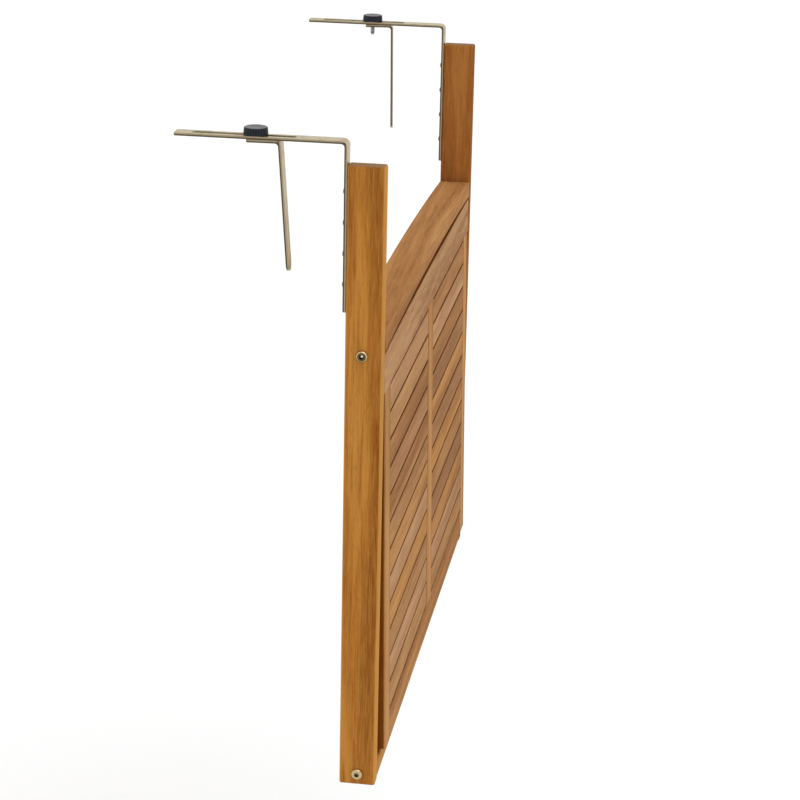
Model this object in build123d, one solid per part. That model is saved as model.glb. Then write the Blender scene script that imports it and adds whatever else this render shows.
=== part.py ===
"""Folding balcony table: two wooden posts hang on a railing by slotted steel brackets with clamps.

A slatted table top swings up between the posts and is held level by a prop frame hinged under it.
X runs along the railing, +Y points at the railing, -Y at the person sitting, +Z is up.
The origin is half way between the posts, where their back plane meets the railing's top plane.
All sizes are in millimetres and degrees.
"""

from build123d import *
import math
import os

# Posts and stretcher
overall_width = 626.0
post_thickness = 15.0
post_depth = 33.0
arm_rise = 18.0
post_rounding = 2.0
stretcher_height = 17.0
stretcher_lift = 2.5
foot_gap = 3.3
bar_rounding = 1.5

# Steel straps: brackets on the posts and clamps behind the railing
strap_width = 15.0
strap_thickness = 2.5
strap_bend = 3.0
strap_corner = 2.0
arm_length = 150.0
leg_tail = 23.6
slot_start = 45.0
slot_end = 15.0
slot_play = 0.3
clamp_reach = 21.25
clamp_tail = 7.5
clamp_length = 113.5
clamp_end_rounding = 7.2
clamp_gap = 0.2
left_clamp_lean = 3.9
right_clamp_lean = 0.8
left_clamp_turn = 2.0
right_clamp_turn = 8.0

# Round head screws with a cross recess
screw_first = 24.0
screw_pitch = 27.3
screw_count = 4
screw_radius = 1.75
screw_length = 20.0
screw_head_radius = 3.6
screw_head_height = 2.1
screw_cross_length = 3.8
screw_cross_width = 0.8
screw_cross_depth = 1.1
screw_play = 0.2

# Knobs, their studs and washers
stud_distance = 80.0
stud_radius = 2.5
stud_grip = 4.5
stud_play = 0.08
stud_chamfer = 0.6
left_stud_tail = 1.0
right_stud_tail = 9.0
washer_radius = 7.0
washer_thickness = 0.8
knob_base_radius = 10.7
knob_top_radius = 10.2
knob_height = 6.4
knob_edge = 1.2
knob_dish_radius = 7.0
knob_dish_depth = 0.6
knob_groove_count = 28
knob_groove_radius = 0.55

# Button head bolts and their threaded inserts
bolt_radius = 3.0
bolt_head_radius = 5.25
bolt_head_height = 3.0
bolt_dome = 2.3
bolt_crown = 2.9
bolt_key = 4.0
bolt_key_depth = 2.4
bolt_play = 0.05
bolt_head_gap = 0.2
bolt_grip = 13.0
insert_radius = 4.0
insert_length = 14.0
insert_play = 0.05
insert_cover = 0.5

# Table top, folded: it hangs from the pivot with its free edge a little proud of the posts
pivot_below_top = 167.3
pivot_from_back = 15.2
hang_angle = 0.95
panel_recess = 0.8
panel_side_gap = 2.0
panel_below_pivot = 1.4
rear_gap = 7.1
rear_rail_thickness = 16.5
rear_rail_bow = 6.5
top_rail_width = 37.9
top_rail_crown = 3.0
rail_chamfer = 0.8
front_rail_width = 27.0
stile_width = 26.0
stile_inset = 8.0
centre_stile_width = 33.0
slat_count = 12
slat_width = 23.5
slat_gap = 3.0
slat_end_gap = 1.5
slat_rounding = 1.2
tongue_length = 6.0
tongue_thickness = 5.0
tongue_shoulder = 7.0
tongue_play = 0.1
batten_width = 30.0
batten_depth = 17.0
batten_housing = 10.0
batten_tail = 14.8
batten_screw_count = 3
batten_screw_end = 24.0
batten_screw_length = 25.0
dowel_radius = 2.5
dowel_in_rail = 4.0
dowel_in_batten = 20.0
dowel_play = 0.05

# Prop frame under the table top and the notched cleats that it stands on
prop_pivot_reach = 150.0
prop_arm_width = 16.0
prop_arm_gap = 1.0
prop_bar_radius = 7.5
prop_bar_wall = 2.5
prop_bar_play = 0.05
cleat_thickness = 16.0
cleat_gap = 10.0
cleat_back_gap = 1.2
cleat_below = 14.0
cleat_above = 3.0
notch_play = 0.4
cleat_screw_length = 26.0
cleat_screw_offset = 6.0

# Planes and levels of the posts and of the table top as it stands upright
half_width = overall_width / 2
post_top = -arm_rise
front_plane = -post_depth
post_inner = half_width - post_thickness
post_middle = half_width - post_thickness / 2
pivot_level = post_top - pivot_below_top
pivot_plane = -pivot_from_back
pivot_axis = Axis((0, pivot_plane, pivot_level), (1, 0, 0))
panel_edge = post_inner - panel_side_gap
panel_front = front_plane + panel_recess
panel_back = pivot_plane - insert_radius - insert_cover
panel_thickness = panel_back - panel_front
panel_top = pivot_level - panel_below_pivot
rear_rail_bottom = panel_top + rear_gap
slat_pitch = slat_width + slat_gap
slats_start = top_rail_width + slat_gap
panel_length = slats_start + slat_count * slat_pitch + front_rail_width
stile_outer = panel_edge - stile_inset
stile_inner = stile_outer - stile_width

# Battens behind the stiles
batten_inner = panel_edge - batten_width
batten_plane = panel_back + batten_depth / 2
batten_top = rear_rail_bottom - rear_rail_bow + batten_housing
batten_bottom = pivot_level - prop_pivot_reach - batten_tail
batten_screw_middle = (stile_outer + batten_inner) / 2
batten_screw_span = batten_top - batten_bottom - 2 * batten_screw_end
batten_screw_step = batten_screw_span / (batten_screw_count - 1)
batten_screw_first = batten_top - batten_screw_end
batten_screw_levels = [batten_screw_first - batten_screw_step * n for n in range(batten_screw_count)]
dowel_middle = (panel_edge + batten_inner) / 2
dowel_plane = (pivot_plane + insert_radius + panel_back + batten_depth) / 2


def on_hanging_top(y, z):
    """Where a point of the upright top lies once the top hangs at its rest angle."""
    turn = math.radians(-hang_angle)
    dy = y - pivot_plane
    dz = z - pivot_level
    return (
        pivot_plane + dy * math.cos(turn) - dz * math.sin(turn),
        pivot_level + dy * math.sin(turn) + dz * math.cos(turn),
    )


# Cleats below the battens, clear of the panel's back where it hangs
notch_z = batten_bottom - cleat_gap - cleat_above
cleat_front = on_hanging_top(panel_back, notch_z + cleat_above)[0] + cleat_back_gap
notch_y = cleat_front / 2
notch_radius = prop_bar_radius + notch_play
cleat_screw_z = notch_z - prop_bar_radius - cleat_below / 2
cleat_screw_places = [
    (notch_y - cleat_screw_offset, cleat_screw_z),
    (notch_y + cleat_screw_offset, cleat_screw_z),
]

# With the top level, the prop leans back from its pivot and its bar stands in the notches
level_prop_y = pivot_plane - prop_pivot_reach
level_prop_z = pivot_level - (batten_plane - pivot_plane)
prop_length = math.hypot(notch_y - level_prop_y, level_prop_z - notch_z)
prop_turn = 90 - hang_angle + math.degrees(math.atan2(notch_y - level_prop_y, level_prop_z - notch_z))

# Folded, the prop hangs plumb behind the panel
prop_y, prop_z = on_hanging_top(batten_plane, pivot_level - prop_pivot_reach)
prop_bar_z = prop_z - prop_length
prop_arm_outer = batten_inner - prop_arm_gap
prop_arm_inner = prop_arm_outer - prop_arm_width
prop_arm_radius = batten_depth / 2 - prop_arm_gap
prop_bar_tenon = prop_arm_radius - prop_bar_wall

# The stretcher lies just below the lowest piece that swings past it
panel_bottom = on_hanging_top(panel_back, panel_top - panel_length)[1]
stretcher_top = min(panel_bottom, prop_bar_z - prop_bar_radius) - foot_gap
stretcher_level = stretcher_top - stretcher_height / 2
post_bottom = stretcher_top - stretcher_height - stretcher_lift
stretcher_plane = front_plane / 2

# Bracket screws and the slot in the arm
bracket_screw_levels = [post_top - screw_first - screw_pitch * n for n in range(screw_count)]
leg_end = bracket_screw_levels[-1] - leg_tail
slot_length = arm_length - slot_start - slot_end

# Tongues run in grooves at the middle of the panel's thickness
tongue_depth = ((panel_thickness - tongue_thickness) / 2, (panel_thickness + tongue_thickness) / 2)
groove_depth = (tongue_depth[0] - tongue_play, tongue_depth[1] + tongue_play)
groove_length = tongue_length + tongue_play

sides = (("left", -1), ("right", 1))
clamp_lean = {-1: left_clamp_lean, 1: right_clamp_lean}
clamp_turn = {-1: left_clamp_turn, 1: right_clamp_turn}
stud_tail = {-1: left_stud_tail, 1: right_stud_tail}
os.makedirs("parts", exist_ok=True)


def save(shape, name):
    export_step(shape, f"parts/{name}.step")


def block(x, y, z):
    """A box between two values on each axis."""
    size = (x[1] - x[0], y[1] - y[0], z[1] - z[0])
    middle = (sum(x) / 2, sum(y) / 2, sum(z) / 2)
    return Pos(*middle) * Box(*size)


def rounded(shape, axis, radius):
    """Rounds the edges that run along one axis."""
    return fillet(shape.edges().filter_by(axis), radius)


def mirrored(side, low, high):
    """An X range on the left (-1) or right (+1), given from the middle outwards."""
    return tuple(sorted((side * low, side * high)))


def rod_x(radius, x, y, z):
    """A round rod along X."""
    return Pos(sum(x) / 2, y, z) * Rot(0, 90, 0) * Cylinder(radius, x[1] - x[0])


def outward(side):
    """Turns a piece that points up so that it points away from the middle on its side."""
    return Rot(0, 90 * side, 0)


def button_bolt(length):
    """A button head bolt whose head stands up from the origin and whose shank goes down."""
    rim = (bolt_head_radius, bolt_head_height - bolt_dome)
    crown = (bolt_crown, bolt_head_height)
    outline = [
        Line((0, -length), (bolt_radius, -length)),
        Line((bolt_radius, -length), (bolt_radius, 0)),
        Line((bolt_radius, 0), (bolt_head_radius, 0)),
        Line((bolt_head_radius, 0), rim),
        TangentArc(crown, rim, tangent=(1, 0), tangent_from_first=True),
        Line(crown, (0, bolt_head_height)),
        Line((0, bolt_head_height), (0, -length)),
    ]
    turned = revolve(Plane.XZ * make_face(Curve() + outline), Axis.Z)
    socket = extrude(RegularPolygon(bolt_key / math.sqrt(3), 6), bolt_key_depth)
    return turned - Pos(0, 0, bolt_head_height - bolt_key_depth) * socket


def wood_screw(length):
    """A round head screw whose head stands up from the origin and whose shank goes down."""
    sphere_radius = (screw_head_radius**2 + screw_head_height**2) / (2 * screw_head_height)
    ball = Pos(0, 0, screw_head_height - sphere_radius) * Sphere(sphere_radius)
    head = ball & (Pos(0, 0, screw_head_height / 2) * Cylinder(screw_head_radius, screw_head_height))
    arm = Box(screw_cross_length, screw_cross_width, screw_cross_depth)
    cross = Pos(0, 0, screw_head_height - screw_cross_depth / 2) * (arm + Rot(0, 0, 90) * arm)
    return head + Pos(0, 0, -length / 2) * Cylinder(screw_radius, length) - cross


def screw_hole(length):
    """A hole that goes a screw's length to either side of the origin."""
    return Cylinder(screw_radius + screw_play, 2 * length)


def post(side):
    """An upright with holes for the pivot bolt, the stretcher bolt and the screws in its back."""
    x = mirrored(side, post_inner, half_width)
    shape = block(x, (front_plane, 0), (post_bottom, post_top))
    shape = fillet(shape.edges(), post_rounding)
    for y, z in ((pivot_plane, pivot_level), (stretcher_plane, stretcher_level)):
        shape -= rod_x(bolt_radius + bolt_play, x, y, z)
    for level in bracket_screw_levels:
        shape -= Pos(side * post_middle, 0, level) * Rot(-90, 0, 0) * screw_hole(screw_length)
    cleat_hole = outward(side) * screw_hole(cleat_screw_length - cleat_thickness)
    for y, z in cleat_screw_places:
        shape -= Pos(side * post_inner, y, z) * cleat_hole
    return shape


def stretcher():
    """The fixed bar between the post feet, bored at both ends for a threaded insert."""
    ends = (-post_inner, post_inner)
    z = (stretcher_top - stretcher_height, stretcher_top)
    shape = rounded(block(ends, (front_plane, 0), z), Axis.X, bar_rounding)
    for side in (-1, 1):
        bore = mirrored(side, post_inner - insert_length, post_inner)
        shape -= rod_x(insert_radius + insert_play, bore, stretcher_plane, stretcher_level)
    return shape


def insert(side, outer, y, z):
    """A threaded sleeve let into the end or side of a wooden piece."""
    x = mirrored(side, outer - insert_length, outer)
    return rod_x(insert_radius, x, y, z) - rod_x(bolt_radius + bolt_play, x, y, z)


def strap_end_edges(shape):
    """The short edges across a strap's thickness, from the lowest to the highest."""
    across = shape.edges().filter_by(lambda edge: math.isclose(edge.length, strap_thickness, abs_tol=1e-4))
    return across.sort_by(Axis.Z)


def strap(points, level_rounding, hanging_rounding):
    """A steel strip bent along points of the YZ plane, from its level end to its hanging end."""
    path = FilletPolyline(*points, radius=strap_bend + strap_thickness / 2)
    outline = Plane.YZ * trace(path, strap_thickness).face()
    shape = extrude(outline, strap_width / 2, both=True)
    shape = fillet(strap_end_edges(shape)[-2:], level_rounding)
    return fillet(strap_end_edges(shape)[:2], hanging_rounding)


def bracket(side):
    """A strap bent square: one leg on the back of the post, one slotted arm over the railing."""
    middle = strap_thickness / 2
    shape = strap([(arm_length, middle), (middle, middle), (middle, leg_end)], strap_corner, strap_corner)
    outline = SlotOverall(slot_length, 2 * (stud_radius + slot_play), rotation=90)
    shape -= Pos(0, slot_start + slot_length / 2, 0) * extrude(outline, 2 * strap_thickness, both=True)
    for level in bracket_screw_levels:
        shape -= Pos(0, 0, level) * Rot(-90, 0, 0) * screw_hole(screw_length)
    return Pos(side * post_middle, 0, 0) * shape


def clamp(side):
    """The L-shaped strap under the arm whose long leg grips the far side of the railing."""
    level = -clamp_gap - strap_thickness / 2
    lean = math.radians(clamp_lean[side])
    leg_foot = (-clamp_reach - clamp_length * math.sin(lean), level - clamp_length * math.cos(lean))
    shape = strap([(clamp_tail, level), (-clamp_reach, level), leg_foot], strap_corner, clamp_end_rounding)
    shape -= Pos(0, 0, level) * Cylinder(stud_radius + stud_play, 2 * strap_thickness)
    return Pos(side * post_middle, stud_distance, 0) * Rot(0, 0, clamp_turn[side]) * shape


def washer(side):
    """A plain washer between the knob and the slotted arm."""
    ring = Cylinder(washer_radius, washer_thickness) - Cylinder(stud_radius + stud_play, washer_thickness)
    return Pos(side * post_middle, stud_distance, strap_thickness + washer_thickness / 2) * ring


def knob(side):
    """A slightly tapered moulded knob with a grooved rim and a dished top."""
    profile = [(0, 0), (knob_base_radius, 0), (knob_top_radius, knob_height), (0, knob_height)]
    shape = revolve(Plane.XZ * Polygon(*profile, align=None), Axis.Z)
    top_edge = shape.edges().filter_by(GeomType.CIRCLE).sort_by(Axis.Z)[-1]
    shape = fillet(top_edge, knob_edge)
    dish_sphere = (knob_dish_radius**2 + knob_dish_depth**2) / (2 * knob_dish_depth)
    shape -= Pos(0, 0, knob_height + dish_sphere - knob_dish_depth) * Sphere(dish_sphere)
    taper = math.degrees(math.atan2(knob_base_radius - knob_top_radius, knob_height))
    groove = Pos(knob_base_radius, 0, 0) * Rot(0, -taper, 0) * Cylinder(knob_groove_radius, 3 * knob_height)
    for step in range(knob_groove_count):
        shape -= Rot(0, 0, 360 * step / knob_groove_count) * groove
    shape -= Cylinder(stud_radius + stud_play, 2 * stud_grip)
    return Pos(side * post_middle, stud_distance, strap_thickness + washer_thickness) * shape


def stud(side):
    """The threaded stud moulded into the knob; it runs through the slot and the clamp's foot."""
    top = strap_thickness + washer_thickness + stud_grip
    bottom = -clamp_gap - strap_thickness - stud_tail[side]
    shape = Cylinder(stud_radius, top - bottom)
    shape = chamfer(shape.edges().sort_by(Axis.Z)[0], stud_chamfer)
    return Pos(side * post_middle, stud_distance, (top + bottom) / 2) * shape


def panel_block(x, along, depth):
    """A box of the upright panel: along from its top edge down, depth from its front face back."""
    y = (panel_front + depth[0], panel_front + depth[1])
    return block(x, y, (panel_top - along[1], panel_top - along[0]))


def rising_edge(start, end, rise):
    """An edge between two points at one level that bows up in the middle."""
    if rise == 0:
        return Line(start, end)
    return ThreePointArc(start, ((start[0] + end[0]) / 2, start[1] + rise), end)


def crowned_bar(y, low, high, low_rise, high_rise):
    """A bar over the whole width of the top. Its edges reach the given levels in the middle."""
    low_ends = [(-panel_edge, low - low_rise), (panel_edge, low - low_rise)]
    high_ends = [(panel_edge, high - high_rise), (-panel_edge, high - high_rise)]
    outline = [
        rising_edge(*low_ends, low_rise),
        Line(low_ends[1], high_ends[0]),
        rising_edge(*high_ends, high_rise),
        Line(high_ends[1], low_ends[0]),
    ]
    shape = Pos(0, y[1], 0) * extrude(Plane.XZ * make_face(Curve() + outline), y[1] - y[0])
    return chamfer(shape.edges().filter_by(GeomType.CIRCLE), rail_chamfer)


def hung(shape):
    """Turns a piece of the upright top about the pivot to the angle at which it hangs."""
    return shape.rotate(pivot_axis, -hang_angle)


def batten_screw_holes(side, length):
    """Holes from the batten into the panel, along the line of the batten's screws."""
    place = Pos(side * batten_screw_middle, panel_back, 0)
    return [place * Pos(0, 0, level) * Rot(-90, 0, 0) * screw_hole(length) for level in batten_screw_levels]


def stile_tongue(low, high, along):
    """The tongue on a stile's end, between two X values."""
    return panel_block((low + tongue_shoulder, high - tongue_shoulder), along, tongue_depth)


def stile_mortise(low, high, along):
    """The mortise in a rail for a stile's tongue."""
    x = (low + tongue_shoulder - tongue_play, high - tongue_shoulder + tongue_play)
    return panel_block(x, along, groove_depth)


def side_stile(side):
    """An outer frame member below the top rail, grooved for the slats and the front rail."""
    x = mirrored(side, stile_inner, stile_outer)
    shape = panel_block(x, (top_rail_width, panel_length), (0, panel_thickness))
    outer_edges = shape.edges().filter_by(Axis.Z).sort_by(Axis.X)[::side][-2:]
    shape = fillet(outer_edges, slat_rounding)
    groove = mirrored(side, stile_inner, stile_inner + groove_length)
    groove_along = (top_rail_width, panel_length - tongue_shoulder + tongue_play)
    shape -= panel_block(groove, groove_along, groove_depth)
    shape += stile_tongue(*x, (top_rail_width - tongue_length, top_rail_width))
    for hole in batten_screw_holes(side, batten_screw_length - batten_depth):
        shape -= hole
    return hung(shape)


def top_rail():
    """The rail next to the hinge, over the ends of all three stiles, with a crowned upper edge."""
    shape = crowned_bar((panel_front, panel_back), panel_top - top_rail_width, panel_top, 0, top_rail_crown)
    along = (top_rail_width - groove_length, top_rail_width)
    half = centre_stile_width / 2
    shape -= stile_mortise(-half, half, along)
    for side in (-1, 1):
        shape -= stile_mortise(*mirrored(side, stile_inner, stile_outer), along)
        for hole in batten_screw_holes(side, batten_screw_length - batten_depth):
            shape -= hole
    return hung(shape)


def front_rail():
    """The rail at the free edge, tongued into the outer stiles."""
    start = panel_length - front_rail_width
    shape = panel_block((-stile_inner, stile_inner), (start, panel_length), (0, panel_thickness))
    lower_edges = shape.edges().filter_by(Axis.X).group_by(Axis.Z)[0]
    shape = fillet(lower_edges, slat_rounding)
    reach = stile_inner + tongue_length
    tongue_along = (start + tongue_shoulder, panel_length - tongue_shoulder)
    shape += panel_block((-reach, reach), tongue_along, tongue_depth)
    half = centre_stile_width / 2
    return hung(shape - stile_mortise(-half, half, (start, start + groove_length)))


def centre_stile():
    """The middle member between the rails, grooved on both edges and tongued at both ends."""
    half = centre_stile_width / 2
    along = (top_rail_width, panel_length - front_rail_width)
    shape = panel_block((-half, half), along, (0, panel_thickness))
    shape += stile_tongue(-half, half, (along[0] - tongue_length, along[1] + tongue_length))
    for side in (-1, 1):
        groove = mirrored(side, half - groove_length, half)
        shape -= panel_block(groove, along, groove_depth)
    return hung(shape)


def slat(side, number):
    """A slat between the centre stile and an outer stile, with a tongue at each end."""
    start = slats_start + number * slat_pitch
    along = (start, start + slat_width)
    inner = centre_stile_width / 2
    x = mirrored(side, inner + slat_end_gap, stile_inner - slat_end_gap)
    shape = panel_block(x, along, (0, panel_thickness))
    shape = fillet(shape.edges().filter_by(Axis.Y, reverse=True), slat_rounding)
    tongue = mirrored(side, inner - tongue_length, stile_inner + tongue_length)
    tongue_along = (along[0] + tongue_shoulder, along[1] - tongue_shoulder)
    return hung(shape + panel_block(tongue, tongue_along, tongue_depth))


def rear_dowel(side, play):
    """A wooden dowel from a batten's end into the rear rail."""
    low = batten_top - dowel_in_batten - play
    high = batten_top + dowel_in_rail + play
    place = Pos(side * dowel_middle, dowel_plane, (low + high) / 2)
    return place * Cylinder(dowel_radius + play, high - low)


def batten_block(side, play):
    """The bearer's outline, or with some play the housing for its end."""
    x = mirrored(side, batten_inner - play, panel_edge + play)
    y = (panel_back - play, panel_back + batten_depth + play)
    return block(x, y, (batten_bottom - play, batten_top + play))


def rear_rail():
    """The bar across the back of the top, bowed up a little and carried on the ends of the battens."""
    top = rear_rail_bottom + rear_rail_thickness
    shape = crowned_bar((front_plane, 0), rear_rail_bottom, top, rear_rail_bow, rear_rail_bow)
    for side in (-1, 1):
        shape -= batten_block(side, tongue_play)
        shape -= rear_dowel(side, dowel_play)
    return hung(shape)


def batten(side):
    """A bearer under an outer stile: the pivot insert is near its end, the prop's bolt further out."""
    shape = rounded(batten_block(side, 0), Axis.Z, bar_rounding)
    bore = mirrored(side, panel_edge - insert_length, panel_edge)
    shape -= rod_x(insert_radius + insert_play, bore, pivot_plane, pivot_level)
    through = mirrored(side, batten_inner, panel_edge)
    shape -= rod_x(bolt_radius + bolt_play, through, batten_plane, pivot_level - prop_pivot_reach)
    shape -= rear_dowel(side, dowel_play)
    for hole in batten_screw_holes(side, batten_screw_length):
        shape -= hole
    return hung(shape)


def prop_arm(side):
    """A leg of the prop frame, rounded at both ends, bored for its pivot bolt and for the cross bar."""
    x = mirrored(side, prop_arm_inner, prop_arm_outer)
    shape = block(x, (prop_y - prop_arm_radius, prop_y + prop_arm_radius), (prop_bar_z, prop_z))
    shape += rod_x(prop_arm_radius, x, prop_y, prop_z)
    shape += rod_x(prop_arm_radius, x, prop_y, prop_bar_z)
    shape -= rod_x(bolt_radius + bolt_play, x, prop_y, prop_z)
    return shape - rod_x(prop_bar_tenon + prop_bar_play, x, prop_y, prop_bar_z)


def prop_bar():
    """The round bar of the prop frame, turned down where it goes through the arms."""
    shape = rod_x(prop_bar_tenon, (-panel_edge, panel_edge), prop_y, prop_bar_z)
    shape += rod_x(prop_bar_radius, (-prop_arm_inner, prop_arm_inner), prop_y, prop_bar_z)
    for side in (-1, 1):
        shape += rod_x(prop_bar_radius, mirrored(side, prop_arm_outer, panel_edge), prop_y, prop_bar_z)
    return shape


def cleat(side):
    """A notched block on the inner face of a post, where the prop's bar stands when the top is up."""
    x = mirrored(side, post_inner - cleat_thickness, post_inner)
    z = (notch_z - prop_bar_radius - cleat_below, notch_z + cleat_above)
    shape = rounded(block(x, (cleat_front, 0), z), Axis.X, bar_rounding)
    shape -= rod_x(notch_radius, x, notch_y, notch_z)
    opening = (notch_y - notch_radius, notch_y + notch_radius)
    shape -= block(x, opening, (notch_z, notch_z + 2 * notch_radius))
    for y, z in cleat_screw_places:
        shape -= Pos(side * post_inner, y, z) * outward(side) * screw_hole(cleat_screw_length)
    return shape


def pivot_bolts(side):
    length = post_thickness + panel_side_gap + bolt_head_gap + bolt_grip
    place = Pos(side * (half_width + bolt_head_gap), pivot_plane, pivot_level)
    return [place * outward(side) * button_bolt(length)]


def stretcher_bolts(side):
    place = Pos(side * half_width, stretcher_plane, stretcher_level)
    return [place * outward(side) * button_bolt(post_thickness + bolt_grip)]


def prop_bolts(side):
    length = prop_arm_width + prop_arm_gap + bolt_head_gap + bolt_grip
    place = Pos(side * (prop_arm_inner - bolt_head_gap), prop_y, prop_z)
    return [place * outward(-side) * button_bolt(length)]


def pivot_inserts(side):
    return [insert(side, panel_edge, pivot_plane, pivot_level)]


def stretcher_inserts(side):
    return [insert(side, post_inner, stretcher_plane, stretcher_level)]


def bracket_screws(side):
    place = Pos(side * post_middle, strap_thickness, 0)
    return [place * Pos(0, 0, z) * Rot(-90, 0, 0) * wood_screw(screw_length) for z in bracket_screw_levels]


def batten_screws(side):
    place = Pos(side * batten_screw_middle, panel_back + batten_depth, 0)
    places = [place * Pos(0, 0, z) * Rot(-90, 0, 0) for z in batten_screw_levels]
    return [hung(spot * wood_screw(batten_screw_length)) for spot in places]


def cleat_screws(side):
    face = side * (post_inner - cleat_thickness)
    places = [Pos(face, y, z) * outward(-side) for y, z in cleat_screw_places]
    return [place * wood_screw(cleat_screw_length) for place in places]


def rear_dowels(side):
    return [hung(rear_dowel(side, 0))]


# Pieces that are made once for each side
for name, side in sides:
    save(post(side), f"{name}_post")
    save(bracket(side), f"{name}_bracket")
    save(clamp(side), f"{name}_clamp")
    save(washer(side), f"{name}_washer")
    save(knob(side), f"{name}_knob")
    save(stud(side), f"{name}_stud")
    save(cleat(side), f"{name}_cleat")
    save(side_stile(side), f"{name}_stile")
    save(batten(side), f"{name}_batten")
    save(prop_arm(side), f"{name}_prop_arm")
    for number in range(slat_count):
        save(slat(side, number), f"{name}_slat_{number + 1:02d}")

# Pieces that run from side to side
for make in (stretcher, rear_rail, top_rail, front_rail, centre_stile, prop_bar):
    save(make(), make.__name__)

# Like fasteners of both sides, each kind as one group of separate solids
fasteners = (
    pivot_bolts,
    stretcher_bolts,
    prop_bolts,
    pivot_inserts,
    stretcher_inserts,
    bracket_screws,
    batten_screws,
    cleat_screws,
    rear_dowels,
)
for make in fasteners:
    save(Compound(children=[solid for name, side in sides for solid in make(side)]), make.__name__)
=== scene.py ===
import math
import random

import bmesh
import bpy
from mathutils import Euler, Matrix, Vector


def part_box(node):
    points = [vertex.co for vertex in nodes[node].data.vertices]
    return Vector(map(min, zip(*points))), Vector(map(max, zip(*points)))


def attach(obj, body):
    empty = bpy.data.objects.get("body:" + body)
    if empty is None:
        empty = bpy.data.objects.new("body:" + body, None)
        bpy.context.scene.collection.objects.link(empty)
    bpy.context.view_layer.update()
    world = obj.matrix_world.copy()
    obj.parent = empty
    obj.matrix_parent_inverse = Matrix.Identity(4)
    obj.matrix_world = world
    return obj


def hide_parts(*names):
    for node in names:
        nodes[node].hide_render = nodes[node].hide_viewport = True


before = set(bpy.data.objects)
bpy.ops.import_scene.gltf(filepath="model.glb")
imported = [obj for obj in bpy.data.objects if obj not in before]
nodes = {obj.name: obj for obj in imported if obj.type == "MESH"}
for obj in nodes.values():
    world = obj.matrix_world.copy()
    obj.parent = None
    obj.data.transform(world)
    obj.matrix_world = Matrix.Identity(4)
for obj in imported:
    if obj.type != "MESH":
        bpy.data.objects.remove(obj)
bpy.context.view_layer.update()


# Posts: two uprights of oiled acacia, 33 mm deep and 15 mm thick, planed with rounded edges.
# The grain runs up the post, with broad flame figure, dark streaks and fine fibres. The sawn ends
# are greyer, and the left post's faces turned to the front and back carry a painted highlight.
def colour(code):
    """A colour written as sRGB hex, in the linear values that the shaders take."""
    parts = [int(code[i : i + 2], 16) / 255 for i in (1, 3, 5)]
    linear = [c / 12.92 if c <= 0.04045 else ((c + 0.055) / 1.055) ** 2.4 for c in parts]
    return (*linear, 1.0)


def add(tree, kind, settings=None, **inputs):
    """One shader node with its settings and input values; a socket given as a value is linked."""
    node = tree.nodes.new("ShaderNode" + kind)
    for key, value in (settings or {}).items():
        setattr(node, key, value)
    for key, value in inputs.items():
        place = int(key[1:]) if key[0] == "i" and key[1:].isdigit() else key
        if isinstance(value, bpy.types.NodeSocket):
            tree.links.new(value, node.inputs[place])
        else:
            node.inputs[place].default_value = value
    return node


def ramp(tree, factor, stops):
    """A colour ramp with stops of (place, colour)."""
    node = add(tree, "ValToRGB", Fac=factor)
    band = node.color_ramp.elements
    while len(band) < len(stops):
        band.new(0.5)
    for element, (place, value) in zip(band, stops):
        element.position = place
        element.color = value
    return node.outputs["Color"]


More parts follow.
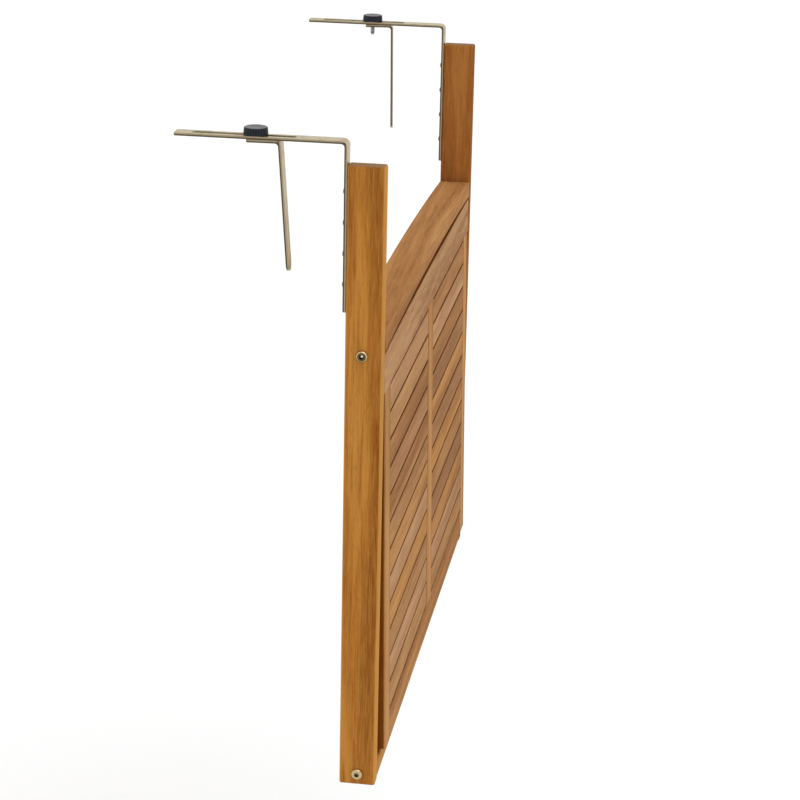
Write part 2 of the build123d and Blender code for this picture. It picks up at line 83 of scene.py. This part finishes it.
def oiled_wood(name, grain, shift, dark, middle, light):
    """Acacia with its grain along one axis. The shift picks another part of the plank."""
    material = bpy.data.materials.new(name)
    material.use_nodes = True
    tree = material.node_tree
    shader = tree.nodes["Principled BSDF"]
    place = add(tree, "TexCoord").outputs["Object"]
    # Every pattern is twenty times as long along the grain as across it
    stretch = 0.05
    along = {"X": (stretch, 1, 1), "Z": (1, 1, stretch)}[grain]
    plank = add(tree, "Mapping", Vector=place, Location=shift, Scale=along).outputs["Vector"]
    # Flame figure about 20 mm across and 400 mm long, cut by growth rings a few millimetres apart
    figure = add(
        tree, "TexNoise", Vector=plank, Scale=48, Detail=2, Roughness=0.45, Distortion=0.25
    ).outputs["Fac"]
    rings = add(tree, "Math", {"operation": "MULTIPLY"}, i0=figure, i1=52).outputs[0]
    rings = add(tree, "Math", {"operation": "SINE"}, i0=rings).outputs[0]
    # Dark streaks 4 mm across and 90 mm long, fibres about 1 mm across, pores 0.4 mm across
    streak = add(
        tree, "TexNoise", Vector=plank, Scale=230, Detail=3, Roughness=0.55, Distortion=0.3
    ).outputs["Fac"]
    fibre = add(tree, "TexNoise", Vector=plank, Scale=850, Detail=4, Roughness=0.6).outputs["Fac"]
    pores = add(tree, "TexNoise", Vector=plank, Scale=2400, Detail=1).outputs["Fac"]
    broad = ramp(tree, figure, [(0.34, dark), (0.5, middle), (0.68, light)])
    ringed = add(tree, "MapRange", Value=rings, i1=-1, i2=1, i3=0.0, i4=0.3).outputs[0]
    tone = add(tree, "Mix", {"data_type": "RGBA"}, i0=ringed, i6=broad, i7=dark).outputs[2]
    streaked = add(tree, "MapRange", Value=streak, i1=0.48, i2=0.68, i3=0.0, i4=0.65).outputs[0]
    tone = add(tree, "Mix", {"data_type": "RGBA"}, i0=streaked, i6=tone, i7=dark).outputs[2]
    fibred = add(tree, "MapRange", Value=fibre, i1=0.38, i2=0.68, i3=0.0, i4=0.5).outputs[0]
    tone = add(tree, "Mix", {"data_type": "RGBA"}, i0=fibred, i6=tone, i7=light).outputs[2]
    pored = add(tree, "MapRange", Value=pores, i1=0.6, i2=0.72, i3=0.0, i4=0.55).outputs[0]
    tone = add(tree, "Mix", {"data_type": "RGBA"}, i0=pored, i6=tone, i7=dark).outputs[2]
    tree.links.new(tone, shader.inputs["Base Color"])
    sheen = add(tree, "MapRange", Value=fibre, i1=0.3, i2=0.7, i3=0.7, i4=0.85).outputs[0]
    tree.links.new(sheen, shader.inputs["Roughness"])
    shader.inputs["Specular IOR Level"].default_value = 0.03
    height = add(tree, "Math", {"operation": "SUBTRACT"}, i0=fibre, i1=pored).outputs[0]
    bump = add(tree, "Bump", Height=height, Strength=0.12, Distance=0.0004).outputs["Normal"]
    tree.links.new(bump, shader.inputs["Normal"])
    return material


def dress(node, material):
    """Gives a node its finished material."""
    slots = nodes[node].data.materials
    slots.clear()
    slots.append(material)


def stain(material, factor, tone, blend="MIX"):
    """Lays another tone over a material where the factor is high."""
    tree = material.node_tree
    base = tree.nodes["Principled BSDF"].inputs["Base Color"]
    settings = {"data_type": "RGBA", "blend_type": blend}
    stained = add(tree, "Mix", settings, i0=factor, i6=base.links[0].from_socket, i7=tone)
    tree.links.new(stained.outputs[2], base)


def facing(material, axis, start, end, most):
    """How far a surface faces along an axis, as a factor that rises between two values."""
    tree = material.node_tree
    normal = add(tree, "TexCoord").outputs["Normal"]
    part = add(tree, "SeparateXYZ", Vector=normal).outputs[axis]
    part = add(tree, "Math", {"operation": "ABSOLUTE"}, i0=part).outputs[0]
    return add(tree, "MapRange", Value=part, i1=start, i2=end, i3=0.0, i4=most).outputs[0]


left_tones = colour("#834a18"), colour("#af712d"), colour("#c68a40")
left_wood = oiled_wood("Oiled acacia left post", "Z", (0.31, 0.12, 0.4), *left_tones)
right_tones = colour("#754018"), colour("#995e2a"), colour("#ad7439")
right_wood = oiled_wood("Oiled acacia right post", "Z", (0.72, 0.55, 0.1), *right_tones)
# Painted highlight on the left post's faces turned to the front and back, and on their rounded edges
stain(left_wood, facing(left_wood, "Y", 0.1, 0.6, 0.55), colour("#d69c50"))
for post, wood in (("left_post", left_wood), ("right_post", right_wood)):
    stain(wood, facing(wood, "Z", 0.6, 0.95, 0.7), colour("#8d7359"))
    dress(post, wood)

# Stretcher: one acacia bar across the feet of the posts, which keeps them apart and square. A bolt
# through each post goes into the end of the bar.
stretcher_tones = colour("#8a5424"), colour("#ad7438"), colour("#c28b4a")
dress("stretcher", oiled_wood("Oiled acacia stretcher", "X", (0.2, 0.9, 0.3), *stretcher_tones))


# Frame of the top: rear rail, top rail, front rail and three stiles of acacia, glued with stopped
# tongues. Rails have their grain along the railing, stiles across it. The sawn edges between the
# front and back faces carry painted shade, for the shade in the gaps between the pieces.
def painted_gap_shade(material, start, most, tone):
    """Paints shade on a piece of the top from a given depth below its front and back faces."""
    tree = material.node_tree
    # The top is 12.5 mm thick and hangs from its pivot, a little out of plumb
    hang = math.radians(0.95)
    pivot = Vector((0, -0.0152, -0.1853))
    thickness = 0.0125
    front_face = -0.017
    middle = front_face + thickness / 2
    fade = 0.001
    place = add(tree, "TexCoord").outputs["Object"]
    place = add(tree, "VectorMath", {"operation": "SUBTRACT"}, i0=place, i1=pivot).outputs[0]
    across = (0, math.cos(hang), -math.sin(hang))
    depth = add(tree, "VectorMath", {"operation": "DOT_PRODUCT"}, i0=place, i1=across)
    depth = add(tree, "Math", {"operation": "SUBTRACT"}, i0=depth.outputs["Value"], i1=middle)
    depth = add(tree, "Math", {"operation": "ABSOLUTE"}, i0=depth.outputs[0]).outputs[0]
    face = thickness / 2 - start
    shade_mask = add(tree, "MapRange", Value=depth, i1=face - fade, i2=face, i3=most, i4=0.0).outputs[0]
    stain(material, shade_mask, tone, "MULTIPLY")
    return material


# Painted shade on the sawn edges of the top rail, stiles and slats, where the gaps fall in shade
gap_shade_start = 0.0003
gap_shade_strength = 0.95
rail_tones = colour("#895730"), colour("#aa7744"), colour("#bb8a56")
for number, rail in enumerate(("rear_rail", "front_rail")):
    shift = (0.15, 0.37 * number + 0.1, 0.71 * number)
    dress(rail, oiled_wood("Oiled acacia " + rail, "X", shift, *rail_tones))
pale_tones = colour("#8f623c"), colour("#b68b5f"), colour("#caa37a")
wood = oiled_wood("Oiled acacia top_rail", "X", (0.15, 0.84, 1.42), *pale_tones)
# The top rail's upper edge gets painted shade, for the gap below the rear rail
dress("top_rail", painted_gap_shade(wood, gap_shade_start, gap_shade_strength, colour("#a07c38")))
stile_tones = colour("#956435"), colour("#b8834e"), colour("#c89861")
stile_gap_shade_start = 0.0011
for number, stile in enumerate(("left_stile", "right_stile", "centre_stile")):
    shift = (0.53 * number + 0.2, 0.4, 0.9)
    wood = oiled_wood("Oiled acacia " + stile, "Z", shift, *stile_tones)
    # Painted shade only on the long edges, which face along the railing, for the shaded gap beside
    # the posts
    long_edge_shade = facing(wood, "X", 0.5, 0.9, gap_shade_strength)
    dress(stile, painted_gap_shade(wood, stile_gap_shade_start, long_edge_shade, colour("#a8823a")))

# Slats: twelve on each side of the centre stile, 23.5 mm wide, 3 mm apart. They are cut from six
# planks and laid mixed, so neighbours differ a little, from golden brown to a pinkish brown.
plank_tones = (
    ("#956336", "#ba834a", "#c79458"),
    ("#906035", "#b4804b", "#c18f59"),
    ("#8c6039", "#af8051", "#bb8f60"),
    ("#916642", "#b5885e", "#c2986f"),
    ("#865b38", "#a87950", "#b4885e"),
    ("#855832", "#a67547", "#b28354"),
)
slats_per_side = 12
plank_mix = random.Random(12)
for column, side in enumerate(("left", "right")):
    for number in range(slats_per_side):
        tones = [colour(code) for code in plank_mix.choice(plank_tones)]
        shift = (0.61 * column + 0.083 * number, 0.29 * number, 0.017 * number + 0.4 * column)
        name = f"{side}_slat_{number + 1:02d}"
        wood = oiled_wood("Oiled acacia " + name, "X", shift, *tones)
        # Painted shade on the slats' edges, for the dark gaps between them
        dress(name, painted_gap_shade(wood, gap_shade_start, gap_shade_strength, colour("#8c5a18")))

# Battens, dowels and cleats: small acacia pieces. The battens behind the outer stiles carry the rear
# rail on dowels, and the notched cleats sit on the posts' inner faces.
bearer_tones = colour("#875526"), colour("#a97239"), colour("#bc8549")
bearers = ("left_batten", "right_batten", "left_cleat", "right_cleat", "rear_dowels")
for number, bearer in enumerate(bearers):
    shift = (0.44 * number, 0.21, 0.8)
    dress(bearer, oiled_wood("Oiled acacia " + bearer, "Z", shift, *bearer_tones))

# Prop: two acacia arms and a turned round bar. It folds flat behind the top, and swings back to
# stand in the cleats' notches when the top is level.
for number, arm in enumerate(("left_prop_arm", "right_prop_arm")):
    shift = (0.9, 0.33 * number, 0.5)
    dress(arm, oiled_wood("Oiled acacia " + arm, "Z", shift, *bearer_tones))
dress("prop_bar", oiled_wood("Oiled acacia prop bar", "X", (0.66, 0.1, 0.2), *bearer_tones))


# Brackets and clamps: punched and bent steel strap, 15 by 2.5 mm, plated with yellow zinc. The
# plating drifts between straw, pink and green. The sheared edges carry painted shade; the torn,
# rough band near the inner face of the bend is darker, partly its own dull colour, partly painted
# shade.
def plated_steel(name, straw, pink, green, dullness):
    """Plated steel whose tint drifts between three tones."""
    material = bpy.data.materials.new(name)
    material.use_nodes = True
    tree = material.node_tree
    shader = tree.nodes["Principled BSDF"]
    shader.inputs["Metallic"].default_value = 1.0
    place = add(tree, "TexCoord").outputs["Object"]
    # Tint drifts over 20 mm, with finer clouds in it and rolling marks about a millimetre across
    drift = add(
        tree, "TexNoise", Vector=place, Scale=52, Detail=4, Roughness=0.6, Distortion=0.6
    ).outputs["Fac"]
    cloud = add(tree, "TexNoise", Vector=place, Scale=900, Detail=3).outputs["Fac"]
    tint = ramp(tree, drift, [(0.36, green), (0.5, straw), (0.64, pink)])
    tree.links.new(tint, shader.inputs["Base Color"])
    smooth = dullness - 0.07
    dull = dullness + 0.1
    rough = add(tree, "MapRange", Value=cloud, i1=0.3, i2=0.7, i3=smooth, i4=dull).outputs[0]
    tree.links.new(rough, shader.inputs["Roughness"])
    bump = add(tree, "Bump", Height=cloud, Strength=0.06, Distance=0.0002).outputs["Normal"]
    tree.links.new(bump, shader.inputs["Normal"])
    return material


def sheared_strap(name, faces):
    """Plated strap with painted shade on its edges, set by depth below its faces (point, normal)."""
    strap_tones = colour("#c2b48d"), colour("#b2937b"), colour("#9d9a75")
    material = plated_steel(name, *strap_tones, 0.34)
    tree = material.node_tree
    place = add(tree, "TexCoord").outputs["Object"]
    depths = []
    for point, normal in faces:
        below = add(tree, "VectorMath", {"operation": "SUBTRACT"}, i0=point, i1=place).outputs[0]
        below = add(tree, "VectorMath", {"operation": "DOT_PRODUCT"}, i0=below, i1=normal)
        depths.append(below.outputs["Value"])
    depth = add(tree, "Math", {"operation": "MINIMUM"}, i0=depths[0], i1=depths[1]).outputs[0]
    # Painted shade on the long edges that face along X, darker in the torn band deeper than 1 mm
    torn_band_shade = add(tree, "MapRange", Value=depth, i1=0.001, i2=0.0015, i3=0.0, i4=0.9).outputs[0]
    shade_mask = facing(material, "X", 0.6, 0.9, 1.0)
    side_shade = add(tree, "Math", {"operation": "MULTIPLY"}, i0=shade_mask, i1=0.8).outputs[0]
    stain(material, side_shade, colour("#96886e"))
    torn_band_shade = add(tree, "Math", {"operation": "MULTIPLY"}, i0=shade_mask, i1=torn_band_shade).outputs[0]
    stain(material, torn_band_shade, colour("#453e31"))
    return material


strap = 0.0025
bracket_faces = ((0, 0, strap), (0, 0, 1)), ((0, 0, 0), (0, -1, 0))
bracket_zinc = sheared_strap("Yellow zinc bracket", bracket_faces)
for bracket in ("left_bracket", "right_bracket"):
    dress(bracket, bracket_zinc)
# Each clamp hangs from its stud with its own lean and turn, in degrees
stud_aside = 0.3055
stud_back = 0.08
foot_top = -0.0002
foot_reach = 0.02125
clamp_hang = ("left", -stud_aside, 3.9, 2.0), ("right", stud_aside, 0.8, 8.0)
for side, middle, lean, turn in clamp_hang:
    swivel = Matrix.Rotation(math.radians(turn), 3, "Z")
    outer = swivel @ Vector((0, -math.cos(math.radians(lean)), math.sin(math.radians(lean))))
    foot_middle = Vector((middle, stud_back, foot_top - strap / 2))
    bend = foot_middle + swivel @ Vector((0, -foot_reach, 0)) + outer * (strap / 2)
    clamp_faces = ((middle, stud_back, foot_top), (0, 0, 1)), (bend, outer)
    dress(side + "_clamp", sheared_strap(f"Yellow zinc {side} clamp", clamp_faces))

# Bolts and screws: button head bolts with a hex socket and round head screws, all yellow zinc. The
# pivot bolts carry the darkest painted reflection. The threaded inserts are plain zinc.
bolt_tones = colour("#cdb988"), colour("#bfa27c"), colour("#b0a87c")
bolt_painted_light = ("pivot_bolts", 0.9, 0.85), ("stretcher_bolts", 0.15, 0.1), ("prop_bolts", 0.4, 0.4)
for fastener, dark_reflection, glint in bolt_painted_light:
    bolt_zinc = plated_steel("Yellow zinc " + fastener, *bolt_tones, 0.27)
    tree = bolt_zinc.node_tree
    low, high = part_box(fastener)
    # Distance from the bolt's axis, along X; the dome has a painted dark reflection up to its rim,
    # the socket has painted shade inside 2 mm and a painted glint in the middle of its bottom
    place = add(tree, "TexCoord").outputs["Object"]
    axis_point = (low + high) / 2
    place = add(tree, "VectorMath", {"operation": "SUBTRACT"}, i0=place, i1=axis_point).outputs[0]
    place = add(tree, "VectorMath", {"operation": "MULTIPLY"}, i0=place, i1=(0, 1, 1)).outputs[0]
    reach = add(tree, "VectorMath", {"operation": "LENGTH"}, i0=place).outputs["Value"]
    dome_reflection = add(tree, "MapRange", Value=reach, i1=0.0036, i2=0.0043, i3=dark_reflection, i4=0.0).outputs[0]
    stain(bolt_zinc, dome_reflection, colour("#463524"))
    # Painted shade inside the hex socket
    socket_shade = add(tree, "MapRange", Value=reach, i1=0.0019, i2=0.0023, i3=0.9, i4=0.0).outputs[0]
    stain(bolt_zinc, socket_shade, colour("#2e281c"))
    # Painted glint at the bottom of the socket
    socket_glint = add(tree, "MapRange", Value=reach, i1=0.0008, i2=0.0013, i3=glint, i4=0.0).outputs[0]
    stain(bolt_zinc, socket_glint, colour("#f3e6c8"))
    dress(fastener, bolt_zinc)
screw_tones = colour("#958b6d"), colour("#867a64"), colour("#7e7b60")
screw_zinc = plated_steel("Yellow zinc screw", *screw_tones, 0.34)
for fastener in ("bracket_screws", "batten_screws", "cleat_screws"):
    dress(fastener, screw_zinc)
insert_tones = colour("#b9bab6"), colour("#b4b1ac"), colour("#a9aeac")
insert_zinc = plated_steel("Plain zinc insert", *insert_tones, 0.36)
for insert in ("pivot_inserts", "stretcher_inserts"):
    dress(insert, insert_zinc)

# Knobs: black moulded plastic with a grooved rim and a dished top, which carries a painted grey
# reflection. One sits above each slotted arm and is turned by hand to tighten the clamp.
knob_plastic = bpy.data.materials.new("Black moulded plastic")
knob_plastic.use_nodes = True
tree = knob_plastic.node_tree
shader = tree.nodes["Principled BSDF"]
place = add(tree, "TexCoord").outputs["Object"]
grain = add(tree, "TexNoise", Vector=place, Scale=2600, Detail=3).outputs["Fac"]
scuff = add(tree, "TexNoise", Vector=place, Scale=240, Detail=4, Roughness=0.65).outputs["Fac"]
black = ramp(tree, scuff, [(0.4, colour("#0b111a")), (0.7, colour("#18202c"))])
tree.links.new(black, shader.inputs["Base Color"])
rough = add(tree, "MapRange", Value=scuff, i1=0.3, i2=0.7, i3=0.3, i4=0.46).outputs[0]
tree.links.new(rough, shader.inputs["Roughness"])
shader.inputs["Specular IOR Level"].default_value = 0.3
bump = add(tree, "Bump", Height=grain, Strength=0.1, Distance=0.0002).outputs["Normal"]
tree.links.new(bump, shader.inputs["Normal"])
# Painted grey reflection on the faces turned up and down
stain(knob_plastic, facing(knob_plastic, "Z", 0.6, 0.95, 0.6), colour("#5c6063"))
for knob in ("left_knob", "right_knob"):
    dress(knob, knob_plastic)

# Studs and washers: bright zinc. Each stud is a 5 mm thread that is fixed in its knob and goes
# through the washer and the slot into the clamp's foot. The washer lies on the arm.
stud_tones = colour("#c3cac8"), colour("#bfc1bf"), colour("#b3bdbc")
bright_zinc = plated_steel("Bright zinc stud", *stud_tones, 0.25)
for washer in ("left_washer", "right_washer"):
    dress(washer, bright_zinc)
thread_depth = 0.00045
thread_pitch = 0.0008
ridge_half = 0.0003
ridge_sink = 0.0001
tip_taper = 0.8
steps_per_turn = 24
for side in ("left", "right"):
    low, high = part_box(side + "_stud")
    middle = (low + high) / 2
    length = high.z - low.z
    crest = (high.x - low.x) / 2
    root = crest - thread_depth
    mesh = bmesh.new()
    core = bmesh.ops.create_cone(
        mesh, cap_ends=True, segments=40, radius1=root * tip_taper, radius2=root, depth=length
    )
    bmesh.ops.translate(mesh, verts=core["verts"], vec=middle)
    # One ridge wound up the core
    turns = int(length / thread_pitch) - 2
    start = Vector((middle.x, middle.y, low.z + thread_pitch))
    ridge = [
        mesh.verts.new(start + Vector((root - ridge_sink, 0, -ridge_half))),
        mesh.verts.new(start + Vector((crest, 0, 0))),
        mesh.verts.new(start + Vector((root - ridge_sink, 0, ridge_half))),
    ]
    face = mesh.faces.new(ridge)
    bmesh.ops.spin(
        mesh,
        geom=[face, *face.verts, *face.edges],
        cent=start,
        axis=(0, 0, 1),
        dvec=(0, 0, thread_pitch / steps_per_turn),
        angle=2 * math.pi * turns,
        steps=steps_per_turn * turns,
        use_merge=False,
    )
    bmesh.ops.recalc_face_normals(mesh, faces=mesh.faces)
    data = bpy.data.meshes.new(side + "_threaded_stud")
    mesh.to_mesh(data)
    mesh.free()
    stud = bpy.data.objects.new(side + "_threaded_stud", data)
    bpy.context.scene.collection.objects.link(stud)
    stud.data.materials.append(bright_zinc)
    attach(stud, side + "_knob")
    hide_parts(side + "_stud")

# Floor: a plain white floor a railing's height below the arms.
floor_level = -1.02
floor_reach = 30
floor_mesh = bmesh.new()
bmesh.ops.create_grid(floor_mesh, x_segments=1, y_segments=1, size=floor_reach)
bmesh.ops.translate(floor_mesh, verts=floor_mesh.verts, vec=(0, 0, floor_level))
data = bpy.data.meshes.new("floor")
floor_mesh.to_mesh(data)
floor_mesh.free()
floor = bpy.data.objects.new("floor", data)
bpy.context.scene.collection.objects.link(floor)
floor_paint = bpy.data.materials.new("White floor")
floor_paint.use_nodes = True
shader = floor_paint.node_tree.nodes["Principled BSDF"]
shader.inputs["Base Color"].default_value = colour("#fdfdfd")
shader.inputs["Roughness"].default_value = 0.9
shader.inputs["Specular IOR Level"].default_value = 0.1
floor.data.materials.append(floor_paint)

# Light: a soft white room and one large soft lamp high above the person's side. The room looks
# white to the eye and in reflections, and lights the wood a little less.
room_light = 0.82
room_seen = 1.0
world = bpy.data.worlds.new("White room")
bpy.context.scene.world = world
world.use_nodes = True
tree = world.node_tree
tree.nodes.clear()
path = add(tree, "LightPath").outputs
seen = path["Is Camera Ray"]
for ray in ("Is Glossy Ray", "Is Transmission Ray"):
    seen = add(tree, "Math", {"operation": "MAXIMUM"}, i0=seen, i1=path[ray]).outputs[0]
level = add(tree, "MapRange", Value=seen, i3=room_light, i4=room_seen)
room = add(tree, "Background", Color=(1, 1, 1, 1), Strength=level.outputs[0])
add(tree, "OutputWorld", Surface=room.outputs[0])
lamp_data = bpy.data.lights.new("Soft lamp", "SUN")
lamp_data.energy = 0.8
lamp_data.angle = math.radians(50)
lamp = bpy.data.objects.new("Soft lamp", lamp_data)
shine = Vector((0.2, 0.35, -1))
lamp.rotation_euler = shine.to_track_quat("-Z", "Y").to_euler()
bpy.context.scene.collection.objects.link(lamp)

# Camera: long lens from beyond the left post, a little to the person's side and above the railing.
camera_turns = (71.4936, -1.1550, -81.3255)
camera_data = bpy.data.cameras.new("Camera")
camera_data.sensor_width = 36
camera_data.lens = 104.04
camera_data.clip_end = 100
camera = bpy.data.objects.new("Camera", camera_data)
camera.location = (-2.19345, -0.32310, 0.41324)
camera.rotation_euler = Euler([math.radians(turn) for turn in camera_turns])
bpy.context.scene.collection.objects.link(camera)
bpy.context.scene.camera = camera
bpy.context.scene.view_settings.view_transform = "Standard"
